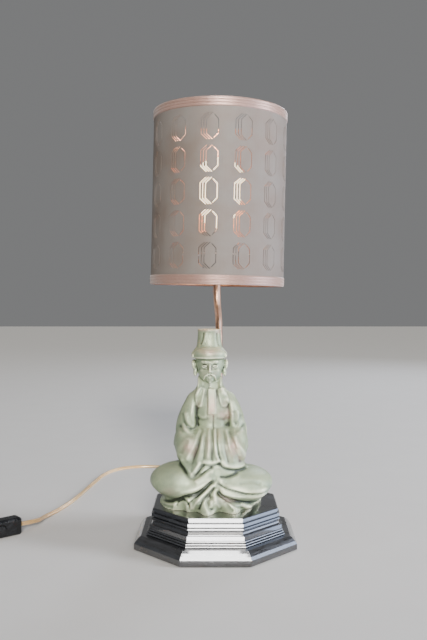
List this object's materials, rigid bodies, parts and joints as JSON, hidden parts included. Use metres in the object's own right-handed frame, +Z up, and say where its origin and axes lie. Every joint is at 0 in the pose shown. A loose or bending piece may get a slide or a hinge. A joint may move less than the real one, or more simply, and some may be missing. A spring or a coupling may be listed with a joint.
{
  "type": "table lamp",
  "caption": "Table lamp: seated robed figure on a stepped octagonal plinth, bent stem, pierced drum shade, flat flex with an in-line rocker switch and plug.",
  "frame": {"origin": "middle of the plinth's footprint, on the table", "axes": "+Z up, -Y the way the figure faces, +X the viewer's right from the front"},
  "size_m": [0.454, 0.4411, 0.4845],
  "materials": {
    "lacquered_wood": "black lacquer on turned and moulded wood, high gloss",
    "felt": "pressed black felt",
    "painted_casting": "cast figure, satin celadon paint with rubbed pink and brown",
    "copper_tube": "drawn tube, copper-bronze plating, satin",
    "plated_steel": "zinc-plated steel",
    "black_moulding": "moulded thermoset, black, satin",
    "porcelain": "unglazed porcelain",
    "contact_brass": "stamped brass",
    "bulb_shell": "pressed aluminium screw cap",
    "cap_glass": "black insulating glass",
    "opal_glass": "opal-coated glass envelope, lit",
    "shade_laminate": "pierced laminate, grey satin outside, copper foil inside",
    "trim_tape": "ribbed rose-gold satin tape over the rim",
    "bright_wire": "bright-plated steel wire",
    "copper_wire": "copper-plated steel wire",
    "gold_flex": "flat twin flex, translucent gold sheath",
    "switch_moulding": "moulded plastic, black, polished",
    "plug_moulding": "moulded plastic, black, matt",
    "pin_plating": "nickel-plated brass"
  },
  "bodies": {
    "lamp": {"plinth": "lacquered_wood", "felt_pad": "felt", "figure": "painted_casting", "stem_tube": "copper_tube", "stem_rosette": "copper_tube", "figure_screws": "plated_steel", "screw_washers": "plated_steel", "stem_washer": "plated_steel", "stem_lock_nut": "plated_steel", "stem_nipple": "plated_steel", "terminal_screws": "plated_steel", "rocker_pin": "plated_steel", "switch_screws": "plated_steel", "holder_cap": "black_moulding", "holder_body": "black_moulding", "shade_ring": "black_moulding", "cord_bush": "black_moulding", "switch_cord_grips": "black_moulding", "contact_block": "porcelain", "centre_contact": "contact_brass", "screw_shell": "contact_brass", "bulb_contact": "contact_brass", "terminal_blocks": "contact_brass", "terminal_clamps": "contact_brass", "contact_blades": "contact_brass", "bulb_cap": "bulb_shell", "bulb_insulator": "cap_glass", "bulb_glass": "opal_glass", "flex_in_lamp": "gold_flex", "flex_to_switch": "gold_flex", "flex_to_coil": "gold_flex", "cord_coil": "gold_flex", "flex_to_plug": "gold_flex", "switch_case_back": "switch_moulding", "switch_case_front": "switch_moulding", "plug_sleeve": "plug_moulding", "plug_body": "plug_moulding", "plug_pins": "pin_plating"},
    "shade_unit": {"shade_drum": "shade_laminate", "top_trim": "trim_tape", "bottom_trim": "trim_tape", "top_wire_ring": "copper_wire", "bottom_wire_ring": "copper_wire", "shade_carrier": "bright_wire"},
    "rocker": {"switch_rocker": "switch_moulding"}
  },
  "joints": [
    {"name": "rocker_tilt", "type": "hinge", "parent": "lamp", "child": "rocker", "pos_m": [-0.24867, 0.00065, 0.01], "axis": [0, 0, 1], "range_deg": [0, 16]},
    {"name": "shade_turn", "type": "hinge", "parent": "lamp", "child": "shade_unit", "pos_m": [0.00194, 0, 0.30199], "axis": [0.0209, 0, 0.9998], "continuous": true}
  ]
}
